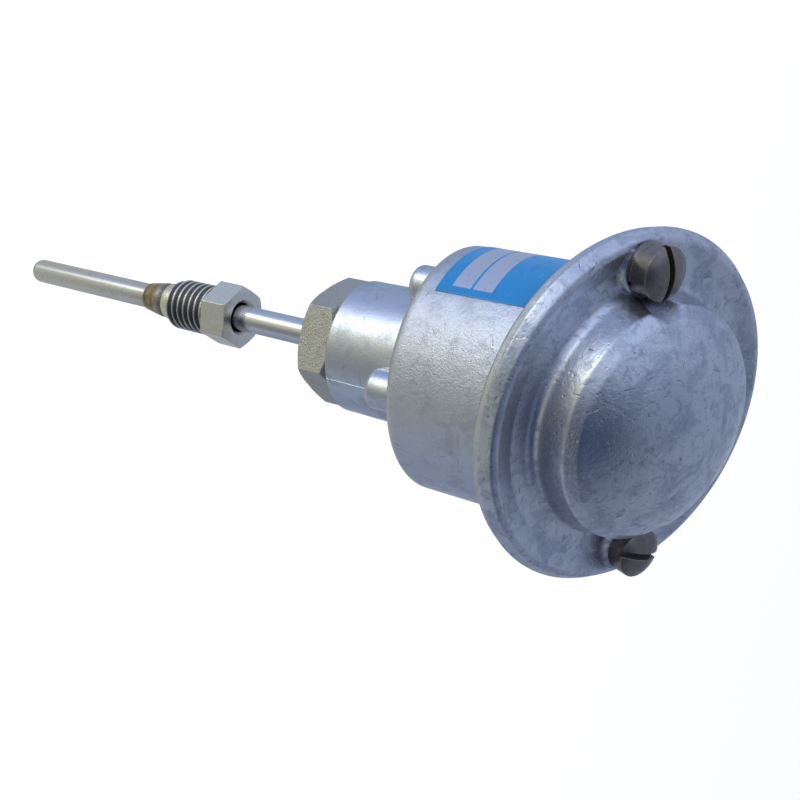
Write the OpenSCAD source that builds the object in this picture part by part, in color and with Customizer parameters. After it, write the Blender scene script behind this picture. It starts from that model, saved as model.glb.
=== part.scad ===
// Resistance thermometer with a die-cast connection head.
// Z runs up the probe axis, and the origin lies on that axis in the
// underside of the pressure screw's hexagon. X points to the cable entry,
// which sits under the high side of the inclined cap.

/* [Process connection] */
// Major diameter of the pressure screw's thread
thread_d = 12; // [10:0.5:13.5]
// Length of the thread, from its front end to the hexagon
thread_len = 12.4; // [8:0.1:20]
// Diameter of the plain nose ahead of the thread
pilot_d = 8.8; // [8:0.1:9.4]
// Length of the plain nose
pilot_len = 3.1; // [1:0.1:6]
// Width across flats of the pressure screw's hexagon
screw_af = 13; // [12:0.5:19]
// Height of the pressure screw's hexagon
screw_hex_h = 7.2; // [4:0.1:12]
// Turn of the pressure screw's hexagon about the axis
screw_turn = 19.5; // [0:0.5:60]
// Radial play between the pressure screw's bore and the sheath
screw_play = 0.4; // [0.3:0.05:0.6]
// Free length of sheath between the pressure screw and the head
free_len = 26.3; // [8:0.1:60]

/* [Probe] */
// Outside diameter of the sheath
tube_d = 6; // [5:0.1:6.6]
// Wall of the sheath
tube_wall = 0.7; // [0.4:0.05:1]
// Distance from the underside of the screw's hexagon to the tip
probe_len = 65; // [45:1:400]
// Edge radius of the closed tip
tip_r = 2.2; // [0.5:0.1:2.4]
// Length of the brazed sealing cone
cone_len = 6.8; // [4:0.1:10]
// Diameter of the sealing cone's large end
cone_d = 8.3; // [7.8:0.1:8.8]
// Diameter of the sealing cone's nose
cone_nose_d = 6.7; // [6.7:0.05:7.2]
// Length of the measuring resistor in the tip
element_len = 15; // [8:1:20]
// Diameter of the measuring resistor
element_d = 2.8; // [1.6:0.1:3]

/* [Neck adapter] */
// Width across flats of the adapter's hexagon
adapter_af = 24; // [22:0.5:27]
// Height of the adapter's hexagon
adapter_h = 7.7; // [5:0.1:12]
// Turn of the adapter's hexagon about the axis
adapter_turn = 7.5; // [0:0.5:60]
// Diameter of the adapter's shank inside the neck
shank_d = 18; // [14:0.5:20]
// Length of the adapter's shank inside the neck
shank_len = 14; // [8:0.5:17]
// Thickness of the sealing ring between adapter and neck
seal_t = 0.6; // [0.4:0.1:1.5]

/* [Head] */
// Diameter of the neck
neck_d = 29; // [27:0.2:31]
// Length of the neck, from its end face to the shoulder
neck_len = 22.2; // [20:0.1:30]
// Outside diameter of the head's body
body_d = 50.4; // [49:0.2:52]
// Height of the body on its axis, from the shoulder to the flange
body_h = 36.5; // [34:0.5:44]
// Wall of the body
body_wall = 3.2; // [2.8:0.1:3.6]
// Thickness of the body's floor
floor_t = 4.5; // [3.5:0.1:6]
// Inclination of the cap against the probe axis
cap_tilt = 22.7; // [16:0.1:25]
// Edge radius of the shoulder
shoulder_r = 2.6; // [1:0.1:4]
// Edge radius of the neck's end
neck_edge_r = 1.2; // [0.5:0.1:2]
// Radius of the fillet between neck and shoulder
neck_fillet_r = 1.6; // [0.5:0.1:2]
// Diameter of the blind screw bosses on the shoulder
boss_d = 8.2; // [7:0.1:9]
// Length of the screw bosses below the shoulder
boss_len = 8; // [5:0.5:11]
// Distance of the screw bosses' axes inside the terminal block's edge
boss_inset = 4.2; // [4:0.1:4.6]
// Radial step from the cap's rim in to the flange
flange_inset = 0.4; // [0:0.1:1]
// Thickness of the flange
flange_t = 2.2; // [2:0.1:2.8]
// Edge radius of the flange
flange_edge_r = 0.9; // [0.3:0.1:1.1]
// Radius of the fillet between body and flange
flange_fillet_r = 2.4; // [1:0.1:3]

/* [Cap] */
// Reach of the cap's rim beyond the body
rim_reach = 9.4; // [9.2:0.1:10.6]
// Width of the rim around the dome
rim_w = 11.9; // [11.6:0.1:12.2]
// Height of the rim's lip above the flange
lip_h = 2.6; // [2.6:0.1:3.2]
// Depth of the flat ring inside the lip
lip_drop = 0.8; // [0.4:0.05:1]
// Width of the lip, from the rim's edge to its inner side
lip_w = 4.6; // [4:0.1:5.2]
// Edge radius of the lip
lip_edge_r = 2.2; // [1:0.1:2.2]
// Height of the dome's top above the flange
dome_h = 16.8; // [15.6:0.1:18]
// Radius of the dome's shoulder
dome_edge_r = 3.2; // [3:0.1:3.6]
// Radius of the dome's crown
dome_crown_r = 36; // [30:1:46]
// Distance from the dome's foot in to the middle of its shoulder
dome_edge_in = 3.6; // [3.6:0.1:4.4]
// Radius of the fillet at the dome's foot
dome_fillet_r = 1.6; // [0.8:0.1:2]
// Wall of the cap
cap_wall = 2.4; // [2:0.1:2.6]
// Width of the gasket
gasket_w = 1.8; // [1.2:0.1:2.2]
// Thickness of the gasket
gasket_t = 0.8; // [0.6:0.1:1]

/* [Cap screws] */
// Distance of the cap screws from the rim's edge
cap_screw_in = 6.3; // [6:0.1:6.8]
// Thread diameter of the cap screws
cap_screw_d = 5; // [4:0.5:5.5]
// Diameter of the cap screws' heads
cap_head_d = 9.8; // [8.4:0.2:10.4]
// Side height of the heads
cap_head_h = 3.4; // [2.4:0.1:4]
// Height of the heads' crown
cap_head_crown = 1.6; // [0.5:0.1:1.8]
// Thickness of the lock washer under the first screw
washer_t = 1.05; // [0.6:0.05:1.4]
// Depth of the slot from the top of the crown
slot_depth = 2.6; // [1.9:0.1:3]
// Width of the heads' slot
slot_w = 1.3; // [0.8:0.1:1.8]
// Direction of the first screw's slot
slot_turn_a = 90; // [0:5:180]
// Direction of the second screw's slot
slot_turn_b = 160; // [0:5:180]
// Height of the seats under the heads, above the flat ring
cap_seat_h = 1.1; // [0.8:0.1:1.4]
// Radial play of the recess around a head
head_play = 1.6; // [1.3:0.1:1.7]

/* [Label] */
// Height of the label's lower edge above the shoulder
label_z = 4.8; // [3:0.1:7]
// Width of the label along the probe axis
label_w = 20.5; // [14:0.5:21]
// Angle where the label starts
label_from = 44; // [40:1:60]
// Angle where the label ends
label_to = 122; // [90:1:150]
// Thickness of the label
label_t = 0.15; // [0.1:0.05:0.3]

/* [Terminals] */
// Height of the terminal block
block_h = 11; // [9:0.5:13]
// Radial gap between the terminal block and the body
block_gap = 1.3; // [1:0.1:1.5]
// Thickness of the insert's mounting plate
plate_t = 1.6; // [1:0.1:2.5]
// Thread diameter of the block's screws
block_screw_d = 4; // [3:0.1:4.4]
// Free height of the springs above the block
spring_rise = 3.4; // [2:0.1:5]
// Wire of the springs
spring_wire = 0.7; // [0.5:0.05:0.8]
// Turns of the springs
spring_turns = 7; // [5:1:8]
// Distance of the terminals' middle inside the block's edge
terminal_inset = 8.1; // [7.7:0.1:8.6]
// Length of a terminal's brass body
terminal_l = 7; // [6:0.1:8]
// Width of a terminal's brass body
terminal_w = 6; // [5:0.1:6.6]
// Height of a terminal's brass body
terminal_h = 6.2; // [5:0.1:7]
// Depth of the terminals' pockets
pocket_d = 1.6; // [1:0.1:2.2]
// Thread diameter of the terminals' screws
terminal_screw_d = 3; // [2:0.1:3.4]
// Diameter of the leads
lead_d = 1.6; // [1:0.1:1.8]

/* [Cable entry] */
// Height of the cable entry above the shoulder
entry_z = 22; // [20:0.5:24]
// Diameter of the entry's boss
entry_boss_d = 27; // [25:0.5:29]
// Reach of the boss beyond the body
entry_boss_l = 8; // [6:0.5:12]
// Thread diameter of the gland
gland_d = 20; // [16:0.5:20]
// Width across flats of the gland
gland_af = 24; // [22:0.5:26]
// Height of the gland's hexagon
gland_hex_h = 5; // [3:0.5:8]
// Length of the gland's thread in the boss
gland_shank_l = 8.5; // [6:0.5:9.5]
// Thickness of the gland's ring
gland_ring_t = 1.2; // [0.8:0.1:2]
// Width across flats of the gland's nut
gland_nut_af = 22; // [21:0.5:25]
// Length of the gland's nut
gland_nut_l = 14; // [12:0.5:18]
// Diameter of the gland's mouth
cable_d = 10.4; // [8:0.2:11]

/* [Hidden] */
$fn = 96;
// Clearance where two pieces seat in each other
fit_gap = 0.05;
// Gap of the lock washer
washer_gap = 0.9;
cone_top_z = -thread_len - pilot_len;
cone_nose_z = cone_top_z - cone_len;
adapter_z = screw_hex_h + free_len;
seal_z = adapter_z + adapter_h;
neck_z = seal_z + seal_t;
shoulder_z = neck_z + neck_len;
floor_z = shoulder_z + floor_t;
rim_z = shoulder_z + body_h;
bowl_r = body_d / 2 - body_wall;
cap_d = body_d + 2 * rim_reach;
flange_d = cap_d - 2 * flange_inset;
lip_in_r = cap_d / 2 - lip_w;
cap_screw_at = cap_d / 2 - cap_screw_in;
dome_foot_r = cap_d / 2 - rim_w;
dome_edge_at = dome_foot_r - dome_edge_in;
neck_bore_r = shank_d / 2 + fit_gap;
passage_r = tube_d / 2 + 1;
plate_r = bowl_r - block_gap;
boss_pitch = 2 * (plate_r - boss_inset);
terminal_at = plate_r - terminal_inset;
block_z = floor_z + plate_t;
block_top = block_z + block_h;
screw_bore_r = tube_d / 2 + screw_play;
tube_top = block_z + 1.2;
entry_at = shoulder_z + entry_z;
entry_face = body_d / 2 + entry_boss_l;
gland_x = entry_face + gland_ring_t;
nut_x = gland_x + gland_hex_h;
nut_gap = gland_nut_l * 0.02;
gland_bore_d = cable_d * 1.23;
collar_d = gland_d * 0.85;
collar_l = gland_nut_l * 0.5;
grip_l = gland_nut_l * 0.27;
nut_round = gland_nut_l * 0.28;
ring_h = lip_h - lip_drop;
head_z = flange_t + ring_h + cap_seat_h;
recess_r = cap_head_d / 2 + head_play;
gasket_r = (dome_foot_r + cap_screw_at - cap_screw_d / 2) / 2;
spring_r = block_screw_d / 2 + 0.35 + spring_wire / 2;
spring_z = block_z + 2.4;
spring_top = block_top + spring_rise;
well_r = spring_r + spring_wire / 2 + 0.35;
far = 3 * body_d;

// Frame of the inclined cap: its Z is the cap's axis, from the flange's back
module on_cap() translate([0, 0, rim_z]) rotate([0, -cap_tilt, 0]) children();

// Everything on one side of the cap's plane at height h
module above_cap(h) on_cap() translate([-far, -far, h]) cube([2 * far, 2 * far, far]);

// Hexagonal prism with both ends turned to a chamfer
module hex_bar(af, h, top = true, bottom = true) {
    rc = af / 2 / cos(30);
    c = (rc - af / 2) * 0.9;
    intersection() {
        cylinder(r = rc, h = h, $fn = 6);
        rotate_extrude() polygon([
            [0, 0], [bottom ? rc - c : rc, 0], [rc, bottom ? c * 0.62 : 0],
            [rc, h - (top ? c * 0.62 : 0)], [top ? rc - c : rc, h], [0, h]]);
    }
}

// Half profile of a disc from z0 to z1 whose edges are rounded below and above
module disc_profile(r, z0, z1, low = 0, high = 0) {
    difference() {
        translate([0, z0]) square([r, z1 - z0]);
        if (low > 0) translate([r - low, z0]) difference() {
            translate([0, -1]) square([low + 1, low + 1]);
            translate([0, low]) circle(r = low);
        }
        if (high > 0) translate([r - high, z1 - high]) difference() {
            square([high + 1, high + 1]);
            circle(r = high);
        }
    }
}

// Half profile of a concave fillet that stands on height z against radius r
module fillet_profile(r, z, f, up = 1) {
    difference() {
        translate([r - 0.2, up > 0 ? z - 0.2 : z - f]) square([f + 0.2, f + 0.2]);
        translate([r + f, z + up * f]) circle(r = f);
    }
}

// ---------------------------------------------------------------- probe

// Closed sheath, tip down, with its resistor space inside
module sheath_tube() color("silver") difference() {
    rotate_extrude() disc_profile(tube_d / 2, -probe_len, tube_top, low = tip_r);
    translate([0, 0, -probe_len + 1.4])
        cylinder(d = tube_d - 2 * tube_wall, h = far * 3 + probe_len);
}

// Wound resistor in the tip
module sensing_element() color("ivory")
    translate([0, 0, -probe_len + 1.4]) cylinder(d = element_d, h = element_len);

// Packed mineral powder around the resistor and the leads
module mineral_fill() color("white") difference() {
    translate([0, 0, -probe_len + 1.4])
        cylinder(d = tube_d - 2 * tube_wall, h = tube_top - 1.4 + probe_len - 2);
    translate([0, 0, -probe_len + 1.3]) cylinder(d = element_d, h = element_len + 0.1);
}

// Resin that closes the sheath's upper end
module end_seal() color("dimgray")
    translate([0, 0, tube_top - 2]) cylinder(d = tube_d - 2 * tube_wall, h = 2);

// Brazed sealing cone, nose down
module sealing_cone() color("tan") difference() {
    rotate_extrude() difference() {
        polygon([[0, cone_nose_z], [cone_nose_d / 2, cone_nose_z],
            [cone_d / 2, cone_nose_z + cone_len * 0.72], [cone_d / 2, cone_top_z], [0, cone_top_z]]);
        translate([cone_nose_d / 2 - 0.3, cone_nose_z]) rotate(-45) translate([0, -1]) square([2, 1]);
    }
    translate([0, 0, cone_nose_z - 1]) cylinder(d = tube_d, h = cone_len + 2);
}

// Loose pressure screw that slides on the sheath
module pressure_screw() color("silver") difference() {
    union() {
        translate([0, 0, cone_top_z + fit_gap]) rotate_extrude()
            disc_profile(pilot_d / 2, 0, pilot_len, low = 0.4);
        translate([0, 0, -thread_len]) rotate_extrude() polygon([[0, 0],
            [pilot_d / 2 + 0.3, 0], [thread_d / 2, (thread_d - pilot_d) / 2 * 0.55],
            [thread_d / 2, thread_len], [0, thread_len]]);
        rotate(screw_turn) hex_bar(screw_af, screw_hex_h, bottom = false);
    }
    translate([0, 0, cone_top_z - 1]) cylinder(r = screw_bore_r, h = far);
    translate([0, 0, screw_hex_h - 0.8])
        cylinder(r1 = screw_bore_r, r2 = screw_bore_r + 0.82, h = 0.82);
}

// ------------------------------------------------------- neck adapter

// Hexagon adapter with the shank that screws into the neck
module neck_adapter() color("tan") difference() {
    union() {
        translate([0, 0, adapter_z]) rotate(adapter_turn) hex_bar(adapter_af, adapter_h);
        translate([0, 0, seal_z - 1]) rotate_extrude()
            disc_profile(shank_d / 2, 0, shank_len + 1 + seal_t, high = 0.8);
    }
    translate([0, 0, adapter_z - 1]) cylinder(d = tube_d + 2 * fit_gap, h = far);
    translate([0, 0, seal_z + 4]) cylinder(r = passage_r, h = far);
}

// Thin ring that seals the adapter against the neck
module neck_seal() color("black") translate([0, 0, seal_z]) difference() {
    cylinder(d = adapter_af - 0.6, h = seal_t);
    translate([0, 0, -1]) cylinder(r = neck_bore_r, h = seal_t + 2);
}

// --------------------------------------------------------------- head

// Turn about the axis of each screw boss
boss_turns = [0, 90, 180, 270];
// Bosses that hold the terminal block's screws
block_turns = [90, 270];

module boss_solid() translate([boss_pitch / 2, 0, 0]) rotate_extrude()
    disc_profile(boss_d / 2, shoulder_z - boss_len, shoulder_z + 1, low = 1.5);

// Neck, bosses and body below the flange, as one revolved casting
module casting_outside() {
    rotate_extrude() union() {
        difference() {
            disc_profile(neck_d / 2, neck_z, shoulder_z + 1, low = neck_edge_r);
            polygon([[neck_d / 2, shoulder_z + 2], [neck_d / 2 + 1, shoulder_z],
                [neck_d / 2 + 1, neck_z - 1], [neck_d / 2 - 0.25, neck_z - 1]]);
        }
        fillet_profile(neck_d / 2 - 0.01, shoulder_z, neck_fillet_r, -1);
    }
    difference() {
        rotate_extrude() disc_profile(body_d / 2, shoulder_z, rim_z + body_d, low = shoulder_r);
        above_cap(flange_t / 2);
    }
    for (t = boss_turns) rotate(t) boss_solid();
    on_cap() rotate_extrude() disc_profile(flange_d / 2, 0, flange_t, low = flange_edge_r);
    intersection() {
        on_cap() rotate_extrude() fillet_profile(body_d / 2, 0, flange_fillet_r, -1);
        translate([0, 0, shoulder_z]) cylinder(d = flange_d, h = body_h + body_d);
    }
    // Boss of the cable entry, with the draft of the mould and a rounded mouth
    translate([0, 0, entry_at]) rotate([0, 90, 0]) {
        difference() {
            cylinder(d1 = entry_boss_d + 1.6, d2 = entry_boss_d, h = entry_face);
            translate([0, 0, entry_face - 1]) difference() {
                cylinder(d = entry_boss_d + 4, h = 2);
                translate([0, 0, -0.01]) cylinder(d1 = entry_boss_d + 0.2, d2 = entry_boss_d - 2, h = 1.02);
            }
        }
    }
}

// Die-cast head: neck, body, flange and cable boss in one piece
module head_body() color("lightsteelblue") difference() {
    casting_outside();
    // Bowl for the terminals
    translate([0, 0, floor_z]) cylinder(r = bowl_r, h = far);
    // Threaded socket for the adapter and the passage for the sheath
    translate([0, 0, neck_z - 1]) cylinder(r = neck_bore_r, h = shank_len + 2.5);
    translate([0, 0, neck_z]) cylinder(r = passage_r, h = far);
    // Blind holes for the terminal block's screws
    for (t = block_turns) rotate(t) translate([boss_pitch / 2, 0, shoulder_z - boss_len + 2.5])
        cylinder(d = block_screw_d + 2 * fit_gap, h = far);
    // Threaded hole of the cable entry
    translate([0, 0, entry_at]) rotate([0, 90, 0]) cylinder(d = gland_d + 2 * fit_gap, h = far);
    // Holes for the cap screws
    on_cap() for (s = [-1, 1]) translate([0, s * cap_screw_at, -1])
        cylinder(d = cap_screw_d + 2 * fit_gap, h = flange_t + 2);
}

// Foil label on the casting
module label() color("deepskyblue") rotate([0, 0, label_from])
    rotate_extrude(angle = label_to - label_from)
        translate([body_d / 2, shoulder_z + label_z]) square([label_t, label_w]);

// ---------------------------------------------------------------- cap

// Point where a line from p touches the circle of radius r about c, on its outer side
function touch(p, c, r) = let (d = p - c, l = norm(d), a = atan2(d.y, d.x) + acos(r / l))
    [c.x + r * cos(a), c.y + r * sin(a)];

// Half profile of the dome, moved in by a wall
module dome_profile(inset) {
    top = flange_t + dome_h - inset;
    crown_c = [0, flange_t + dome_h - dome_crown_r];
    edge_c = [dome_edge_at, crown_c.y + sqrt(pow(dome_crown_r - dome_edge_r, 2) - pow(dome_edge_at, 2))];
    er = dome_edge_r - inset;
    cr = dome_crown_r - inset;
    foot = [dome_foot_r - inset, flange_t + ring_h];
    t = touch(foot, edge_c, er);
    k = (edge_c - crown_c) / norm(edge_c - crown_c);
    polygon([[0, 0], [foot.x, 0], foot, t, edge_c, [0, edge_c.y]]);
    translate(edge_c) circle(r = er);
    intersection() {
        translate(crown_c) circle(r = cr);
        polygon([[0, edge_c.y - 5], edge_c, crown_c + k * (cr + 3), [0, crown_c.y + cr + 3]]);
    }
    polygon([[0, 0], edge_c, [0, edge_c.y + 1]]);
}

module cap() color("slategray") on_cap() difference() {
    union() {
        rotate_extrude() difference() {
            union() {
                // Rim with its lip, and the flat ring inside it
                difference() {
                    disc_profile(cap_d / 2, flange_t, flange_t + lip_h, low = 0.3, high = lip_edge_r);
                    polygon([[0, flange_t + ring_h], [lip_in_r, flange_t + ring_h],
                        [lip_in_r + 2.6, flange_t + lip_h], [lip_in_r + 2.6, flange_t + lip_h + 1],
                        [0, flange_t + lip_h + 1]]);
                }
                intersection() {
                    dome_profile(0);
                    translate([0, flange_t]) square([cap_d, far]);
                }
                fillet_profile(dome_foot_r - 0.15, flange_t + ring_h, dome_fillet_r, 1);
            }
            dome_profile(cap_wall);
            translate([-1, -far]) square([cap_d, far + flange_t]);
            // Groove of the gasket
            translate([gasket_r - gasket_w / 2, flange_t - 1]) square([gasket_w, gasket_t + 1]);
        }
        // Raised seats of the heads
        for (s = [-1, 1]) translate([0, s * cap_screw_at, flange_t + ring_h / 2])
            cylinder(r = cap_head_d / 2 + 0.3, h = ring_h / 2 + cap_seat_h);
    }
    for (s = [-1, 1]) translate([0, s * cap_screw_at, 0]) {
        cylinder(d = cap_screw_d + 0.6, h = far);
        // Recess of the head, cut into the dome's foot
        translate([0, 0, head_z]) cylinder(r = recess_r, h = far);
    }
}

// Flat gasket in the cap's groove
module cap_gasket() color("black") on_cap() translate([0, 0, flange_t]) difference() {
    cylinder(r = gasket_r + gasket_w / 2, h = gasket_t);
    translate([0, 0, -1]) cylinder(r = gasket_r - gasket_w / 2, h = gasket_t + 2);
}

// Slotted cap screw with a crowned head, lifted by what lies under it
module cap_screw(side, lift, turn) on_cap() translate([0, side * cap_screw_at, 0]) {
    hr = cap_head_d / 2;
    crown = (hr * hr + cap_head_crown * cap_head_crown) / (2 * cap_head_crown);
    seat = head_z + lift;
    difference() {
        union() {
            cylinder(d = cap_screw_d, h = seat + 0.5);
            translate([0, 0, seat]) cylinder(r = hr, h = cap_head_h);
            intersection() {
                translate([0, 0, seat + cap_head_h + cap_head_crown - crown]) sphere(r = crown);
                translate([0, 0, seat + cap_head_h - 0.5]) cylinder(r = hr, h = cap_head_crown + 1);
            }
        }
        rotate(turn) translate([-hr - 1, -slot_w / 2, seat + cap_head_h + cap_head_crown - slot_depth])
            cube([2 * hr + 2, slot_w, 4]);
    }
}
module cap_screw_a() color("dimgray") cap_screw(1, washer_t, slot_turn_a);
module cap_screw_b() color("dimgray") cap_screw(-1, 0, slot_turn_b);

// Split lock washer under the first screw
module cap_washer() color("gray") on_cap() translate([0, cap_screw_at, head_z]) difference() {
    cylinder(d = cap_head_d, h = washer_t);
    translate([0, 0, -1]) cylinder(d = cap_screw_d + 2 * fit_gap, h = washer_t + 2);
    rotate(200) translate([0, -washer_gap / 2, -1]) cube([cap_head_d, washer_gap, washer_t + 2]);
}

// ----------------------------------------------------- measuring insert

// Steel plate that carries the sheath and the terminal block
module insert_plate() color("silver") difference() {
    translate([0, 0, floor_z]) cylinder(r = plate_r, h = plate_t);
    translate([0, 0, floor_z - 1]) cylinder(d = tube_d + 2 * fit_gap, h = plate_t + 2);
    for (t = boss_turns) rotate(t) translate([boss_pitch / 2, 0, floor_z - 1])
        cylinder(d = block_screw_d + 0.5, h = plate_t + 2);
}

// Where the four terminals stand
terminal_turns = [45, 135, 225, 315];

module terminal_block() color("ivory") difference() {
    translate([0, 0, block_z]) rotate_extrude()
        disc_profile(plate_r, 0, block_h, high = 1.2);
    translate([0, 0, block_z - 1]) cylinder(r = passage_r + 0.8, h = far);
    for (t = block_turns) rotate(t) translate([boss_pitch / 2, 0, 0]) {
        translate([0, 0, block_z - 1]) cylinder(d = block_screw_d + 0.5, h = far);
        translate([0, 0, spring_z]) cylinder(r = well_r, h = far);
    }
    for (t = terminal_turns) rotate(t)
        translate([terminal_at - terminal_l / 2 - fit_gap, -terminal_w / 2 - fit_gap, block_top - pocket_d])
            cube([terminal_l + 2 * fit_gap, terminal_w + 2 * fit_gap, far]);
    // Barrier grooves across the top
    for (t = [0, 90]) rotate(t) translate([-far, -0.8, block_top - 1]) cube([2 * far, 1.6, far]);
}

// Height of the leads' level run, just clear of the block
lead_z = block_top + lead_d / 2 + 2 * fit_gap;

// Brass terminal with its wire hole and its screw's hole
module terminal(turn) color("gold") rotate(turn) difference() {
    translate([terminal_at - terminal_l / 2, -terminal_w / 2, block_top - pocket_d])
        cube([terminal_l, terminal_w, terminal_h]);
    translate([0, 0, lead_z]) rotate([0, 90, 0])
        cylinder(d = lead_d + 2 * fit_gap, h = terminal_at - terminal_l / 2 + 1.6);
    translate([terminal_at + 0.8, 0, block_top - pocket_d + terminal_h * 0.45])
        cylinder(d = terminal_screw_d + 2 * fit_gap, h = far);
}
module terminal_1() terminal(terminal_turns[0]);
module terminal_2() terminal(terminal_turns[1]);
module terminal_3() terminal(terminal_turns[2]);
module terminal_4() terminal(terminal_turns[3]);

module terminal_screw(turn) color("silver") rotate(turn)
    translate([terminal_at + 0.8, 0, block_top - pocket_d + terminal_h]) difference() {
        union() {
            cylinder(d = terminal_screw_d * 1.75, h = 1.8);
            translate([0, 0, -terminal_h * 0.5]) cylinder(d = terminal_screw_d, h = terminal_h * 0.5 + 0.5);
        }
        translate([-far, -0.4, 0.9]) cube([2 * far, 0.8, 2]);
    }
module terminal_screw_1() terminal_screw(terminal_turns[0]);
module terminal_screw_2() terminal_screw(terminal_turns[1]);
module terminal_screw_3() terminal_screw(terminal_turns[2]);
module terminal_screw_4() terminal_screw(terminal_turns[3]);

// Lead that rises from the sheath, bends over and ends in its terminal
module lead(turn) rotate(turn) {
    at = lead_d / 2 * sqrt(2) + 0.1;
    bend = lead_d * 1.4;
    translate([at, 0, tube_top]) cylinder(d = lead_d, h = lead_z - bend - tube_top);
    translate([at + bend, 0, lead_z - bend]) rotate([90, 0, 180]) rotate_extrude(angle = 90)
        translate([bend, 0]) circle(d = lead_d, $fn = 24);
    translate([at + bend, 0, lead_z]) rotate([0, 90, 0])
        cylinder(d = lead_d, h = terminal_at - terminal_l / 2 + 1.5 - at - bend);
}
module lead_1() color("red") lead(terminal_turns[0]);
module lead_2() color("red") lead(terminal_turns[1]);
module lead_3() color("white") lead(terminal_turns[2]);
module lead_4() color("white") lead(terminal_turns[3]);

// Screw that holds the insert down through its spring
module block_screw(turn) color("silver") rotate(turn) translate([boss_pitch / 2, 0, 0]) difference() {
    union() {
        translate([0, 0, shoulder_z - boss_len + 3.5])
            cylinder(d = block_screw_d, h = spring_top - shoulder_z + boss_len - 3);
        translate([0, 0, spring_top]) rotate_extrude()
            disc_profile(well_r, 0, 2.4, high = 0.7);
    }
    translate([-far, -0.5, spring_top + 1.3]) cube([2 * far, 1, 3]);
}
module block_screw_a() block_screw(block_turns[0]);
module block_screw_b() block_screw(block_turns[1]);

// Coil spring between the block and the screw's head
module block_spring(turn) color("gray") {
    steps = 14;
    sides = 6;
    n = spring_turns * steps;
    low = spring_z + spring_wire / 2;
    rise = (spring_top - spring_z - spring_wire) / n;
    pts = [for (i = [0:n], j = [0:sides - 1]) let (a = 360 * i / steps, b = 360 * j / sides,
        r = spring_r + spring_wire / 2 * cos(b))
        [r * cos(a), r * sin(a), low + rise * i + spring_wire / 2 * sin(b)]];
    faces = concat(
        [[for (j = [0:sides - 1]) j]],
        [[for (j = [sides - 1:-1:0]) n * sides + j]],
        [for (i = [0:n - 1], j = [0:sides - 1]) let (k = (j + 1) % sides)
            [i * sides + j, (i + 1) * sides + j, (i + 1) * sides + k, i * sides + k]]);
    rotate(turn) translate([boss_pitch / 2, 0, 0]) polyhedron(pts, faces, convexity = 10);
}
module block_spring_a() block_spring(block_turns[0]);
module block_spring_b() block_spring(block_turns[1]);

// -------------------------------------------------------- cable entry

module on_entry(x) translate([x, 0, entry_at]) rotate([0, 90, 0]) children();

// Ring between the boss and the gland
module gland_ring() color("black") on_entry(entry_face) difference() {
    cylinder(d = gland_af - 1, h = gland_ring_t);
    translate([0, 0, -1]) cylinder(d = gland_d + 2 * fit_gap, h = gland_ring_t + 2);
}

// Gland body: shank in the boss, hexagon, and the collar that the nut covers
module gland_body() color("silver") difference() {
    union() {
        on_entry(entry_face - gland_shank_l)
            cylinder(d = gland_d, h = gland_shank_l + gland_ring_t + gland_hex_h / 2);
        on_entry(gland_x) hex_bar(gland_af, gland_hex_h);
        on_entry(nut_x - gland_hex_h / 2) cylinder(d = collar_d, h = collar_l + gland_hex_h / 2);
    }
    on_entry(0) cylinder(d = gland_bore_d, h = far);
}

// Rubber ring that grips the cable
module gland_grip() color("black") on_entry(nut_x + collar_l) difference() {
    cylinder(d = collar_d - 8 * fit_gap, h = grip_l);
    translate([0, 0, -far]) cylinder(d = cable_d * 0.87, h = 2 * far);
}

// Domed nut with a hexagon at its back
module gland_nut() color("silver") on_entry(nut_x + nut_gap) difference() {
    union() {
        hex_bar(gland_nut_af, gland_nut_l * 0.55);
        rotate_extrude() disc_profile(gland_nut_af * 0.486, 0, gland_nut_l - nut_gap, high = nut_round);
    }
    translate([0, 0, -far]) cylinder(d = collar_d + 2 * fit_gap, h = far + collar_l + grip_l - nut_gap);
    cylinder(d = cable_d, h = far);
}

head_body();
cap();
cap_gasket();
cap_screw_a();
cap_screw_b();
cap_washer();
label();
neck_adapter();
neck_seal();
sheath_tube();
sealing_cone();
pressure_screw();
sensing_element();
mineral_fill();
end_seal();
insert_plate();
terminal_block();
terminal_1();
terminal_2();
terminal_3();
terminal_4();
terminal_screw_1();
terminal_screw_2();
terminal_screw_3();
terminal_screw_4();
lead_1();
lead_2();
lead_3();
lead_4();
block_screw_a();
block_screw_b();
block_spring_a();
block_spring_b();
gland_ring();
gland_body();
gland_grip();
gland_nut();
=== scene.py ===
import math

import bmesh
import bpy
import numpy as np
from mathutils import Matrix, Vector


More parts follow.
